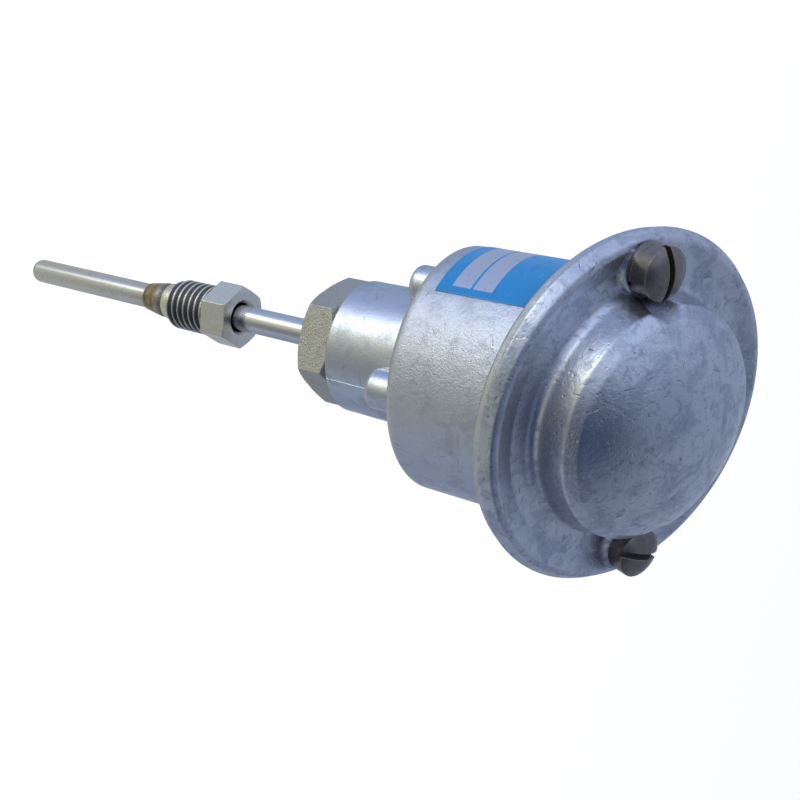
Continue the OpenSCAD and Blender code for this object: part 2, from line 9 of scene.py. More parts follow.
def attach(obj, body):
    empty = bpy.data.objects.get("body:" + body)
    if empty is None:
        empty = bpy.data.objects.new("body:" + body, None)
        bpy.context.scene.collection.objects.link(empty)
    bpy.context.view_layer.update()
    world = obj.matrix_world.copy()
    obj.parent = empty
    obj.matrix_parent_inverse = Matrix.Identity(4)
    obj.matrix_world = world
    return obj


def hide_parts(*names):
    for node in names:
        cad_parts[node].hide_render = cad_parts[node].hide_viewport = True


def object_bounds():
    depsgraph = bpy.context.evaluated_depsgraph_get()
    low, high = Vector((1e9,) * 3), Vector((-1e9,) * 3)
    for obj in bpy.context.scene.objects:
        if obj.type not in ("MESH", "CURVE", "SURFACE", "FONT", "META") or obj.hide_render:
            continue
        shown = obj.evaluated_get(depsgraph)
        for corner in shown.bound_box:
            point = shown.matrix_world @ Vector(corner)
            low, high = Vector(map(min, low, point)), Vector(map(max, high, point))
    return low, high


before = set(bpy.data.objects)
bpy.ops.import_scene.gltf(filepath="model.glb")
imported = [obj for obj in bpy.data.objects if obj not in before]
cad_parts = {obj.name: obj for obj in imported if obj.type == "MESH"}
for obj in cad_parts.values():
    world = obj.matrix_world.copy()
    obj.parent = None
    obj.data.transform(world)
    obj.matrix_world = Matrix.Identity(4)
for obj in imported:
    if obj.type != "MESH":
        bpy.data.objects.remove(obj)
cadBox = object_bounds()
scene = bpy.context.scene
mm = 0.001


# Display colour 0..255 to the linear colour that shaders take
def srgb(r, g, b):
    c = np.array([r, g, b]) / 255
    linear = np.where(c <= 0.04045, c / 12.92, ((c + 0.055) / 1.055) ** 2.4)
    return (*[float(x) for x in linear], 1.0)


# A new node: its properties first, then its inputs, which take a value or another node's socket
def put(tree, kind, inputs=None, **props):
    node = tree.nodes.new(kind)
    for name, value in props.items():
        setattr(node, name, value)
    for key, value in (inputs or {}).items():
        if isinstance(value, bpy.types.NodeSocket):
            tree.links.new(value, node.inputs[key])
        else:
            node.inputs[key].default_value = value
    return node


# Maths on two or more values, from left to right; one value alone is for operations such as SQRT
def calc(tree, op, value, *others):
    for other in others or (0.0,):
        value = put(tree, "ShaderNodeMath", {0: value, 1: other}, operation=op).outputs[0]
    return value


# A base plus each mask times its own weight
def addUp(tree, base, *pairs):
    for mask, weight in pairs:
        base = calc(tree, "ADD", base, calc(tree, "MULTIPLY", mask, weight))
    return base


# Smooth step of a value from low to high, given back as a number from start to end
def ramp(tree, value, low, high, start=0.0, end=1.0):
    values = {"Value": value, "From Min": low, "From Max": high, "To Min": start, "To Max": end}
    return put(tree, "ShaderNodeMapRange", values, interpolation_type="SMOOTHSTEP").outputs["Result"]


# Rises from 0 to 1 between the first two places and falls back between the last two
def between(tree, value, places):
    a, b, c, d = places
    return calc(tree, "MULTIPLY", ramp(tree, value, a, b), ramp(tree, value, d, c))


# 1 from low to high and 0 outside, with both ends blurred
def within(tree, value, low, high, blur):
    return between(tree, value, (low - blur, low + blur, high - blur, high + blur))


def blendColour(tree, mask, under, over):
    node = put(tree, "ShaderNodeMix", {0: mask, 6: under, 7: over}, data_type="RGBA", clamp_factor=True)
    return node.outputs[2]


# Paints a colour over what is there, as strongly as the mask times the amount
def paint(tree, under, colour, mask, amount):
    return blendColour(tree, calc(tree, "MULTIPLY", mask, amount), under, colour)


# Colours along a value from 0 to 1, as (place, colour) stops; the first is at 0 and the last at 1
def colourRamp(tree, value, stops):
    node = put(tree, "ShaderNodeValToRGB", {0: value})
    band = node.color_ramp.elements
    band[0].color, band[1].color = stops[0][1], stops[-1][1]
    for place, colour in stops[1:-1]:
        band.new(place).color = colour
    return node.outputs[0]


def noise(tree, vector, scale, detail=2.0, roughness=0.5, distortion=0.0):
    values = {"Vector": vector, "Scale": scale, "Detail": detail, "Roughness": roughness,
              "Distortion": distortion}
    return put(tree, "ShaderNodeTexNoise", values).outputs["Fac"]


def cells(tree, vector, scale):
    return put(tree, "ShaderNodeTexVoronoi", {"Vector": vector, "Scale": scale}).outputs


def vectorCalc(tree, op, a, b=(0.0, 0.0, 0.0), out="Vector"):
    return put(tree, "ShaderNodeVectorMath", {0: a, 1: b}, operation=op).outputs[out]


def mixShader(tree, share, a, b):
    return put(tree, "ShaderNodeMixShader", {0: share, 1: a, 2: b}).outputs[0]


def split(tree, vector):
    return put(tree, "ShaderNodeSeparateXYZ", {0: vector}).outputs


# Distance from the probe's axis: the root of x squared plus y squared
def fromAxis(tree, p):
    squares = calc(tree, "ADD", calc(tree, "MULTIPLY", p[0], p[0]), calc(tree, "MULTIPLY", p[1], p[1]))
    return calc(tree, "SQRT", squares)


# A node group that reads a place and some numbers; returns its tree, its inputs and its outputs
def newGroup(name, numbers, masks, normals=()):
    g = bpy.data.node_groups.new(name, "ShaderNodeTree")
    g.interface.new_socket(name="Vector", in_out="INPUT", socket_type="NodeSocketVector")
    for label, value in numbers.items():
        socket = g.interface.new_socket(name=label, in_out="INPUT", socket_type="NodeSocketFloat")
        socket.default_value = value
    for label in masks:
        g.interface.new_socket(name=label, in_out="OUTPUT", socket_type="NodeSocketFloat")
    for label in normals:
        g.interface.new_socket(name=label, in_out="OUTPUT", socket_type="NodeSocketVector")
    return g, g.nodes.new("NodeGroupInput").outputs, g.nodes.new("NodeGroupOutput").inputs


# A shared effect placed in a material
def use(tree, group, **inputs):
    return put(tree, "ShaderNodeGroup", inputs, node_tree=group).outputs


# Cast or blasted grain: two sizes of noise, and round pits in the cells of a pattern; Size is in millimetres
def makeGrain(finer=3.7, coarseShare=0.7, fineShare=0.3, pitScale=0.55, pitRim=0.22, pitFloor=0.06,
              pitDepth=0.35):
    g, i, o = newGroup("grain", dict(Size=1.0, Pits=0.5), ("Height", "Pit Mask"))
    scale = calc(g, "DIVIDE", 1 / mm, i["Size"])
    coarse = noise(g, i["Vector"], scale, detail=5.0, roughness=0.6)
    fine = noise(g, i["Vector"], calc(g, "MULTIPLY", scale, finer), detail=3.0)
    middle = cells(g, i["Vector"], calc(g, "MULTIPLY", scale, pitScale))["Distance"]
    pit = calc(g, "MULTIPLY", ramp(g, middle, pitRim, pitFloor), i["Pits"])
    height = addUp(g, calc(g, "MULTIPLY", coarse, coarseShare), (fine, fineShare), (pit, -pitDepth))
    g.links.new(height, o["Height"])
    g.links.new(pit, o["Pit Mask"])
    return g


# Soft blotches of oxide, as distorted noise past a level, and a finer speckle; Size is in millimetres
def makeStains(bare=0.72, covered=0.4, blurFrom=-0.04, blurTo=0.12, finer=7.0, speckleFrom=0.52,
               speckleTo=0.68):
    g, i, o = newGroup("stains", dict(Size=8.0, Cover=0.5), ("Mask", "Speckle"))
    scale = calc(g, "DIVIDE", 1 / mm, i["Size"])
    big = noise(g, i["Vector"], scale, detail=6.0, roughness=0.62, distortion=0.8)
    level = addUp(g, bare, (i["Cover"], -covered))
    g.links.new(ramp(g, calc(g, "SUBTRACT", big, level), blurFrom, blurTo), o["Mask"])
    small = noise(g, i["Vector"], calc(g, "MULTIPLY", scale, finer), detail=4.0, roughness=0.7)
    g.links.new(ramp(g, small, speckleFrom, speckleTo), o["Speckle"])
    return g


# Short straight nicks: each cell of a pattern may hold one, a thin flat sheet with its own slant, cut off
# by a ball round the cell's middle, so that it meets the surface in a short line. Size and Width are in
# millimetres.
def makeNicks(spin=6.3, reachShare=0.36, tipWidth=0.2, taperFrom=0.3, endFrom=0.85, solid=0.5,
              gapScale=2200.0, gapFrom=0.36, gapTo=0.52):
    g, i, o = newGroup("nicks", dict(Size=6.0, Width=0.06, Amount=0.3), ("Mask",))
    cell = cells(g, i["Vector"], calc(g, "DIVIDE", 1 / mm, i["Size"]))
    away = vectorCalc(g, "SUBTRACT", i["Vector"], cell["Position"])
    slant = vectorCalc(g, "MULTIPLY", cell["Color"], (spin, spin, spin))
    own = put(g, "ShaderNodeVectorRotate", {"Vector": away, "Rotation": slant}, rotation_type="EULER_XYZ")
    off = calc(g, "ABSOLUTE", split(g, own.outputs[0])[1])
    length = vectorCalc(g, "LENGTH", away, out="Value")
    reach = calc(g, "DIVIDE", length, calc(g, "MULTIPLY", i["Size"], reachShare * mm))
    half = calc(g, "MULTIPLY", i["Width"], 0.5 * mm, ramp(g, reach, 1.0, taperFrom, tipWidth, 1.0))
    across = ramp(g, calc(g, "DIVIDE", off, half), 1.0, solid)
    line = calc(g, "MULTIPLY", across, ramp(g, reach, 1.0, endFrom))
    pick = put(g, "ShaderNodeSeparateColor", {0: cell["Color"]}).outputs[0]
    gaps = ramp(g, noise(g, i["Vector"], gapScale), gapFrom, gapTo)
    chosen = calc(g, "MULTIPLY", calc(g, "LESS_THAN", pick, i["Amount"]), gaps)
    g.links.new(calc(g, "MULTIPLY", line, chosen), o["Mask"])
    return g


# Bright worn edges: where a rounded normal leaves the surface's own normal, broken up by noise
def makeEdgeWear(noiseScale=900.0, ragged=0.16, wearFrom=0.03, wearTo=0.12):
    g, i, o = newGroup("edgeWear", dict(Radius=0.6 * mm, Breakup=0.5), ("Mask",), ("Soft Normal",))
    soft = put(g, "ShaderNodeBevel", {"Radius": i["Radius"]}, samples=4).outputs[0]
    own = put(g, "ShaderNodeNewGeometry").outputs["Normal"]
    same = vectorCalc(g, "DOT_PRODUCT", soft, own, out="Value")
    uneven = calc(g, "SUBTRACT", noise(g, i["Vector"], noiseScale, detail=4.0), 0.5)
    gap = addUp(g, calc(g, "SUBTRACT", 1.0, same), (uneven, calc(g, "MULTIPLY", i["Breakup"], ragged)))
    g.links.new(ramp(g, gap, wearFrom, wearTo), o["Mask"])
    g.links.new(soft, o["Soft Normal"])
    return g


# Dirt and painted shade in corners: ambient occlusion darkens them, broken up by noise
def makeGrimeAndShade(noiseScale=420.0, ragged=0.35, darkFrom=0.3, darkTo=0.8):
    g, i, o = newGroup("grimeAndShade", dict(Reach=3.0 * mm, Amount=0.5), ("Mask",))
    light = put(g, "ShaderNodeAmbientOcclusion", {"Distance": i["Reach"]}, samples=6).outputs["AO"]
    uneven = calc(g, "SUBTRACT", noise(g, i["Vector"], noiseScale, detail=5.0, roughness=0.65), 0.5)
    deep = addUp(g, calc(g, "SUBTRACT", 1.0, light), (uneven, ragged))
    g.links.new(calc(g, "MULTIPLY", ramp(g, deep, darkFrom, darkTo), i["Amount"]), o["Mask"])
    return g


# Fine rings left by turning about the probe's axis: noise read only along the axis and the radius
def makeTurnedRings():
    g, i, o = newGroup("turnedRings", dict(Pitch=0.12), ("Height",))
    p = split(g, i["Vector"])
    flat = put(g, "ShaderNodeCombineXYZ", {0: fromAxis(g, p), 1: p[2]}).outputs[0]
    g.links.new(noise(g, flat, calc(g, "DIVIDE", 1 / mm, i["Pitch"])), o["Height"])
    return g


grain, stains, nicks = makeGrain(), makeStains(), makeNicks()
edgeWear, grimeAndShade, turnedRings = makeEdgeWear(), makeGrimeAndShade(), makeTurnedRings()
print("surface effects ready")


# A material with its shader, the place on the piece, and constant values on the shader's own sockets;
# underscores in their names stand for spaces
def startMaterial(name, **sockets):
    material = bpy.data.materials.new(name)
    material.use_nodes = True
    tree = material.node_tree
    shader = tree.nodes["Principled BSDF"]
    for key, value in sockets.items():
        shader.inputs[key.replace("_", " ")].default_value = value
    return material, tree, shader, put(tree, "ShaderNodeTexCoord").outputs["Object"]


# Connects what a material worked out; depth is the bump's real depth in metres
def wire(tree, shader, colour, rough, height, depth, normal=None, metal=None):
    tree.links.new(colour, shader.inputs["Base Color"])
    tree.links.new(rough, shader.inputs["Roughness"])
    if metal is not None:
        tree.links.new(metal, shader.inputs["Metallic"])
    bump = put(tree, "ShaderNodeBump", {"Height": height, "Strength": 1.0, "Distance": depth})
    if normal is not None:
        tree.links.new(normal, bump.inputs["Normal"])
    tree.links.new(bump.outputs[0], shader.inputs["Normal"])


# Die-cast head: grainy body, smoother neck, and a parting line down its low side
headLook = dict(
    skin=srgb(206, 209, 216), dull=srgb(172, 177, 188), bright=srgb(232, 234, 238), dirtAndShade=srgb(70, 76, 92),
    rough=0.29, grainSize=0.34, swellSize=2.4, grainDepth=0.16 * mm, neckTop=64.0 * mm, neckGrain=0.3,
    seamTurn=189.0, seamWidth=0.35 * mm, seamHeight=0.6, seamOnBody=0.15)  # sizes of effects are in mm


def makeHeadCasting(k):
    m, t, s, v = startMaterial("bodyCasting", Metallic=1.0)
    p = split(t, v)
    neckTop, seamWidth = k["neckTop"], k["seamWidth"]
    body = ramp(t, p[2], neckTop - 1.0 * mm, neckTop + 1.5 * mm, k["neckGrain"], 1.0)
    skin = use(t, grain, Vector=v, Size=k["grainSize"], Pits=0.5)
    swell = use(t, grain, Vector=v, Size=k["swellSize"], Pits=0.2)
    oxide = use(t, stains, Vector=v, Size=4.0, Cover=0.5)
    nick = use(t, nicks, Vector=v, Size=5.0, Width=0.12, Amount=0.3)["Mask"]
    edge = use(t, edgeWear, Vector=v, Radius=0.6 * mm, Breakup=0.8)
    dirtAndShade = use(t, grimeAndShade, Vector=v, Reach=2.2 * mm, Amount=0.7)["Mask"]
    seamTurn = math.radians(k["seamTurn"])
    x, y = math.cos(seamTurn), math.sin(seamTurn)  # the way from the axis to the seam
    across = calc(t, "ABSOLUTE", addUp(t, calc(t, "MULTIPLY", p[0], -y), (p[1], x)))
    outward = addUp(t, calc(t, "MULTIPLY", p[0], x), (p[1], y))
    seam = calc(t, "MULTIPLY", ramp(t, across, seamWidth * 0.5, seamWidth * 0.2),
                ramp(t, outward, 0.0, 2.0 * mm),
                ramp(t, p[2], neckTop + 1.0 * mm, neckTop, k["seamOnBody"], 1.0))
    rubbed = calc(t, "MAXIMUM", calc(t, "MULTIPLY", edge["Mask"], 0.5), seam)
    colour = paint(t, k["skin"], k["dull"], oxide["Mask"], amount=0.45)
    colour = paint(t, colour, k["dull"], oxide["Speckle"], amount=0.35)
    colour = paint(t, colour, k["dirtAndShade"], skin["Pit Mask"], amount=0.5)
    colour = paint(t, colour, k["bright"], rubbed, amount=0.8)
    colour = paint(t, colour, k["dirtAndShade"], nick, amount=0.6)
    # dirt and painted shade: the occlusion mask darkens the corners towards the dark colour
    colour = blendColour(t, dirtAndShade, colour, k["dirtAndShade"])
    rough = addUp(t, k["rough"], (oxide["Mask"], 0.1), (dirtAndShade, 0.25), (seam, -0.1))
    bumps = calc(t, "MULTIPLY", calc(t, "ADD", skin["Height"], swell["Height"]), body)
    height = addUp(t, bumps, (seam, k["seamHeight"]), (nick, -0.5))
    wire(t, s, colour, rough, height, k["grainDepth"], edge["Soft Normal"])
    return m


# Cap: smoother grey skin, finely mottled, with small dark nicks and pits, and dirt with painted shade in its
# corners
capLook = dict(
    skin=srgb(206, 210, 217), dull=srgb(160, 166, 182), pale=srgb(222, 224, 230), bright=srgb(232, 234, 238),
    dirtAndShade=srgb(40, 46, 66), rough=0.29, grainSize=0.8, grainDepth=0.08 * mm, broadSize=6.0, fineSize=1.8)


def makeCapCasting(k):
    m, t, s, v = startMaterial("capCasting", Metallic=1.0)
    skin = use(t, grain, Vector=v, Size=k["grainSize"], Pits=0.45)
    broad = use(t, stains, Vector=v, Size=k["broadSize"], Cover=0.55)
    fine = use(t, stains, Vector=v, Size=k["fineSize"], Cover=0.45)
    nick = use(t, nicks, Vector=v, Size=4.4, Width=0.2, Amount=0.2)["Mask"]
    dots = use(t, nicks, Vector=v, Size=2.4, Width=0.22, Amount=0.12)["Mask"]
    edge = use(t, edgeWear, Vector=v, Radius=0.7 * mm, Breakup=1.0)
    dirtAndShade = use(t, grimeAndShade, Vector=v, Reach=2.0 * mm, Amount=0.75)["Mask"]
    marks = calc(t, "MAXIMUM", nick, calc(t, "MULTIPLY", dots, 0.7),
                 calc(t, "MULTIPLY", skin["Pit Mask"], 0.5))
    colour = paint(t, k["skin"], k["dull"], broad["Mask"], amount=0.55)
    colour = paint(t, colour, k["dull"], fine["Mask"], amount=0.7)
    colour = paint(t, colour, k["pale"], broad["Speckle"], amount=0.5)
    colour = paint(t, colour, k["bright"], edge["Mask"], amount=0.4)
    colour = paint(t, colour, k["dirtAndShade"], marks, amount=0.75)
    # dirt and painted shade: ambient occlusion darkens the corners and the bowls to a dark blue-grey
    colour = blendColour(t, dirtAndShade, colour, k["dirtAndShade"])
    rough = addUp(t, k["rough"], (broad["Mask"], 0.08), (fine["Mask"], 0.1), (dirtAndShade, 0.25))
    height = addUp(t, calc(t, "MULTIPLY", skin["Height"], 1.1), (marks, -1.0))
    wire(t, s, colour, rough, height, k["grainDepth"], edge["Soft Normal"])
    return m


# Nickel-plated brass: blasted grain with pits, worn edges, and dirt with painted shade down in the grooves.
# Where a thread is given, as the radius of its crests and the height of its end, oil and rust lie in it too.
plated = dict(bright=srgb(226, 222, 210), groove=0.8, thread=None)
adapterLook = dict(plated, plate=srgb(196, 193, 182), worn=srgb(178, 174, 160), dirtAndShade=srgb(84, 78, 68),
                   rough=0.34, grainSize=0.4, grainDepth=0.17 * mm)
pressureScrewLook = dict(plated, plate=srgb(230, 226, 212), worn=srgb(208, 202, 184), dirtAndShade=srgb(62, 54, 48),
                         rough=0.27, grainSize=0.3, grainDepth=0.04 * mm, groove=1.0,
                         thread=(6.0 * mm, -12.0 * mm), oil=0.85)
glandLook = dict(plated, plate=srgb(196, 195, 190), worn=srgb(178, 176, 168), dirtAndShade=srgb(82, 78, 72),
                 rough=0.3, grainSize=0.4, grainDepth=0.05 * mm)


def makePlated(name, k):
    m, t, s, v = startMaterial(name, Metallic=1.0)
    skin = use(t, grain, Vector=v, Size=k["grainSize"], Pits=1.0)
    oxide = use(t, stains, Vector=v, Size=3.0, Cover=0.45)
    nick = use(t, nicks, Vector=v, Size=3.5, Width=0.1, Amount=0.35)["Mask"]
    edge = use(t, edgeWear, Vector=v, Radius=0.3 * mm, Breakup=0.8)
    dirtAndShade = use(t, grimeAndShade, Vector=v, Reach=1.1 * mm, Amount=k["groove"])["Mask"]
    rings = use(t, turnedRings, Vector=v, Pitch=0.16)["Height"]
    if k["thread"]:
        crest, end = k["thread"]
        p = split(t, v)
        below = ramp(t, fromAxis(t, p), crest - 0.08 * mm, crest - 0.3 * mm)
        along = between(t, p[2], (end, end + 0.5 * mm, -0.3 * mm, 0.0))
        dirtAndShade = calc(t, "MAXIMUM", dirtAndShade, calc(t, "MULTIPLY", below, along, k["oil"]))
    colour = paint(t, k["plate"], k["worn"], oxide["Mask"], amount=0.4)
    colour = paint(t, colour, k["dirtAndShade"], skin["Pit Mask"], amount=0.6)
    colour = paint(t, colour, k["bright"], edge["Mask"], amount=0.5)
    colour = paint(t, colour, k["dirtAndShade"], nick, amount=0.5)
    # dirt and painted shade: ambient occlusion darkens the grooves, together with the oil in the thread
    colour = blendColour(t, dirtAndShade, colour, k["dirtAndShade"])
    rough = addUp(t, k["rough"], (oxide["Mask"], 0.1), (dirtAndShade, 0.25))
    height = addUp(t, skin["Height"], (rings, 0.2), (nick, -0.5))
    wire(t, s, colour, rough, height, k["grainDepth"], edge["Soft Normal"])
    return m


# Sheath: drawn steel tube, polished along its length, a little yellow from heat near the cone
sheathLook = dict(
    steel=srgb(214, 212, 210), shade=srgb(176, 174, 176), heat=srgb(190, 164, 116), dirtAndShade=srgb(84, 78, 72),
    coneTop=-14.0 * mm, heatBelow=(15 * mm, 6 * mm), heatAbove=8 * mm, streakScale=3800.0, streakStretch=0.03,
    rough=0.15, depth=0.015 * mm)


def makeSheath(k):
    m, t, s, v = startMaterial("polishedSheath", Metallic=1.0)
    z, top = split(t, v)[2], k["coneTop"]
    along = put(t, "ShaderNodeMapping", {"Vector": v, "Scale": (1.0, 1.0, k["streakStretch"])}).outputs[0]
    streak = noise(t, along, k["streakScale"], detail=3.0, roughness=0.6)
    oxide = use(t, stains, Vector=v, Size=3.5, Cover=0.4)
    nick = use(t, nicks, Vector=v, Size=2.5, Width=0.06, Amount=0.4)["Mask"]
    start, full = k["heatBelow"]
    warm = between(t, z, (top - start, top - full, top, top + k["heatAbove"]))
    colour = paint(t, k["steel"], k["shade"], oxide["Mask"], amount=0.35)
    colour = paint(t, colour, k["heat"], warm, amount=0.4)
    colour = paint(t, colour, k["dirtAndShade"], oxide["Speckle"], amount=0.15)
    rough = addUp(t, k["rough"], (oxide["Mask"], 0.08), (streak, 0.08))
    height = addUp(t, calc(t, "MULTIPLY", streak, 0.6), (nick, -0.8))
    wire(t, s, colour, rough, height, k["depth"])
    return m


# Brazed cone: straw and brown heat tint from its tip to its top, with dark flux spots
coneLook = dict(
    tints=((0.0, srgb(128, 116, 98)), (0.2, srgb(166, 148, 116)), (0.5, srgb(140, 118, 84)),
           (0.8, srgb(172, 164, 156)), (1.0, srgb(120, 112, 104))),
    flux=srgb(84, 70, 58), bright=srgb(214, 200, 166), tip=-22.5 * mm, top=-15.3 * mm, ragged=1.6 * mm,
    rough=0.3, depth=0.06 * mm)


def makeHeatTint(k):
    m, t, s, v = startMaterial("heatTint", Metallic=0.85)
    oxide = use(t, stains, Vector=v, Size=1.6, Cover=0.5)
    skin = use(t, grain, Vector=v, Size=0.3, Pits=0.5)
    edge = use(t, edgeWear, Vector=v, Radius=0.3 * mm, Breakup=1.0)
    uneven = calc(t, "SUBTRACT", skin["Height"], 0.4)
    z = addUp(t, split(t, v)[2], (uneven, k["ragged"]))
    colour = colourRamp(t, ramp(t, z, k["tip"], k["top"]), k["tints"])
    colour = paint(t, colour, k["flux"], oxide["Mask"], amount=0.45)
    colour = paint(t, colour, k["bright"], edge["Mask"], amount=0.4)
    rough = addUp(t, k["rough"], (oxide["Mask"], 0.2))
    wire(t, s, colour, rough, skin["Height"], k["depth"], edge["Soft Normal"])
    return m


# Dark nickel screws of the cap and their washer
capScrewLook = dict(
    nickel=srgb(128, 122, 120), shade=srgb(100, 94, 98), speckle=srgb(142, 128, 100),
    edge=srgb(176, 170, 160), nick=srgb(176, 172, 166), dirtAndShade=srgb(22, 22, 32), rough=0.26, depth=0.03 * mm)


def makeDarkScrew(k):
    m, t, s, v = startMaterial("darkScrew", Metallic=0.9)
    skin = use(t, grain, Vector=v, Size=0.5, Pits=0.3)
    oxide = use(t, stains, Vector=v, Size=2.6, Cover=0.5)
    nick = use(t, nicks, Vector=v, Size=2.6, Width=0.12, Amount=0.5)["Mask"]
    edge = use(t, edgeWear, Vector=v, Radius=0.3 * mm, Breakup=1.0)
    dirtAndShade = use(t, grimeAndShade, Vector=v, Reach=1.2 * mm, Amount=0.9)["Mask"]
    colour = paint(t, k["nickel"], k["shade"], oxide["Mask"], amount=0.5)
    colour = paint(t, colour, k["speckle"], oxide["Speckle"], amount=0.25)
    colour = paint(t, colour, k["edge"], edge["Mask"], amount=0.45)
    colour = paint(t, colour, k["nick"], nick, amount=0.35)
    # dirt and painted shade: ambient occlusion darkens the slot and the corners almost to black
    colour = blendColour(t, dirtAndShade, colour, k["dirtAndShade"])
    rough = addUp(t, k["rough"], (oxide["Mask"], 0.12))
    height = addUp(t, calc(t, "MULTIPLY", skin["Height"], 0.4), (nick, -1.0))
    wire(t, s, colour, rough, height, k["depth"], edge["Soft Normal"])
    return m


# Label: printed blue foil with two bare silver windows. A window is a low and a high place up the head;
# both lie between the two ends, which are turns in degrees.
labelLook = dict(
    blue=srgb(0, 116, 184), deep=srgb(0, 96, 162), silver=srgb(178, 186, 206), tarnish=srgb(146, 154, 180),
    worn=srgb(120, 190, 226), windows=((71.7 * mm, 75.6 * mm), (76.1 * mm, 80.1 * mm)), ends=(54.0, 118.0),
    blur=0.06 * mm, endBlur=0.3, brushScale=700.0, brushStretch=12.0, rough=0.33, bareMetal=0.7,
    depth=0.05 * mm)


def makeLabelFoil(k):
    m, t, s, v = startMaterial("labelFoil", IOR=1.5, Coat_Weight=0.25, Coat_Roughness=0.25)
    p = split(t, v)
    turn = calc(t, "MULTIPLY", calc(t, "ARCTAN2", p[1], p[0]), 180 / math.pi)
    rows = calc(t, "MAXIMUM", *[within(t, p[2], low, high, k["blur"]) for low, high in k["windows"]])
    window = calc(t, "MULTIPLY", rows, within(t, turn, *k["ends"], k["endBlur"]))
    oxide = use(t, stains, Vector=v, Size=5.0, Cover=0.4)
    nick = use(t, nicks, Vector=v, Size=3.0, Width=0.08, Amount=0.3)["Mask"]
    edge = use(t, edgeWear, Vector=v, Radius=0.25 * mm, Breakup=1.0)["Mask"]
    ink = paint(t, k["blue"], k["deep"], oxide["Mask"], amount=0.6)
    ink = paint(t, ink, k["worn"], calc(t, "MAXIMUM", nick, edge), amount=0.55)
    bare = paint(t, k["silver"], k["tarnish"], oxide["Speckle"], amount=0.4)
    across = put(t, "ShaderNodeMapping", {"Vector": v, "Scale": (1.0, 1.0, k["brushStretch"])}).outputs[0]
    brushed = noise(t, across, k["brushScale"], detail=3.0)
    height = addUp(t, calc(t, "MULTIPLY", brushed, 0.3), (window, -0.5))
    rough = addUp(t, k["rough"], (oxide["Mask"], 0.12))
    metal = calc(t, "MULTIPLY", window, k["bareMetal"])
    wire(t, s, blendColour(t, window, ink, bare), rough, height, k["depth"], metal=metal)
    return m


# Plain finishes of seals, ceramic, brass, leads and springs: two close colours, pale nicks, and a darker copy
# of the colour painted into the corners as dirt and shade
def makePlain(name, colour, shade, rough, size, depth, metal=0.0):
    m, t, s, v = startMaterial(name, Metallic=metal, IOR=1.48)
    skin = use(t, grain, Vector=v, Size=size, Pits=0.2)
    blotch = use(t, stains, Vector=v, Size=size * 4, Cover=0.5)["Mask"]
    nick = use(t, nicks, Vector=v, Size=size * 3, Width=0.08, Amount=0.3)["Mask"]
    dirtAndShade = use(t, grimeAndShade, Vector=v, Reach=1.5 * mm, Amount=0.5)["Mask"]
    paler = (*[min(1.0, x * 1.6 + 0.05) for x in colour[:3]], 1.0)
    darker = (*[x * 0.35 for x in colour[:3]], 1.0)
    coat = paint(t, colour, shade, blotch, amount=0.6)
    coat = paint(t, coat, paler, nick, amount=0.25)
    # dirt and painted shade: ambient occlusion blends a darker copy of the colour into the corners
    coat = blendColour(t, dirtAndShade, coat, darker)
    height = addUp(t, skin["Height"], (nick, -0.2))
    wire(t, s, coat, addUp(t, rough, (blotch, 0.12)), height, depth)
    return m


looks = {
    "head": makeHeadCasting(headLook),
    "cap": makeCapCasting(capLook),
    "adapter": makePlated("platedAdapter", adapterLook),
    "pressureScrew": makePlated("platedScrew", pressureScrewLook),
    "gland": makePlated("platedGland", glandLook),
    "sheath": makeSheath(sheathLook),
    "cone": makeHeatTint(coneLook),
    "capScrew": makeDarkScrew(capScrewLook),
    "label": makeLabelFoil(labelLook),
}
plainLooks = {
    "rubber": dict(name="blackRubber", colour=srgb(34, 34, 37), shade=srgb(50, 50, 54),
                   rough=0.62, size=0.9, depth=0.05 * mm),
    "fibre": dict(name="fibreRing", colour=srgb(64, 44, 36), shade=srgb(88, 66, 52),
                  rough=0.7, size=0.5, depth=0.06 * mm),
    "ceramic": dict(name="glazedCeramic", colour=srgb(232, 226, 210), shade=srgb(214, 204, 184),
                    rough=0.24, size=2.0, depth=0.03 * mm),
    "mineral": dict(name="packedMineral", colour=srgb(226, 224, 216), shade=srgb(200, 196, 184),
                    rough=0.85, size=0.3, depth=0.06 * mm),
    "resin": dict(name="sealResin", colour=srgb(58, 50, 46), shade=srgb(40, 36, 34),
                  rough=0.3, size=1.0, depth=0.03 * mm),
    "brass": dict(name="brassTerminal", colour=srgb(196, 166, 96), shade=srgb(168, 138, 76),
                  rough=0.28, size=1.4, depth=0.02 * mm, metal=1.0),
    "zinc": dict(name="zincScrew", colour=srgb(186, 190, 198), shade=srgb(156, 158, 166),
                 rough=0.3, size=1.2, depth=0.02 * mm, metal=1.0),
    "plate": dict(name="platedSteel", colour=srgb(178, 180, 184), shade=srgb(150, 152, 158),
                  rough=0.34, size=2.0, depth=0.02 * mm, metal=1.0),
    "spring": dict(name="springSteel", colour=srgb(140, 142, 148), shade=srgb(96, 94, 96),
                   rough=0.3, size=0.6, depth=0.02 * mm, metal=1.0),
    "redLead": dict(name="redLead", colour=srgb(176, 34, 28), shade=srgb(140, 24, 22),
                    rough=0.5, size=0.7, depth=0.02 * mm),
    "whiteLead": dict(name="whiteLead", colour=srgb(226, 224, 218), shade=srgb(204, 200, 190),
                      rough=0.5, size=0.7, depth=0.02 * mm),
}
looks.update({key: makePlain(**k) for key, k in plainLooks.items()})

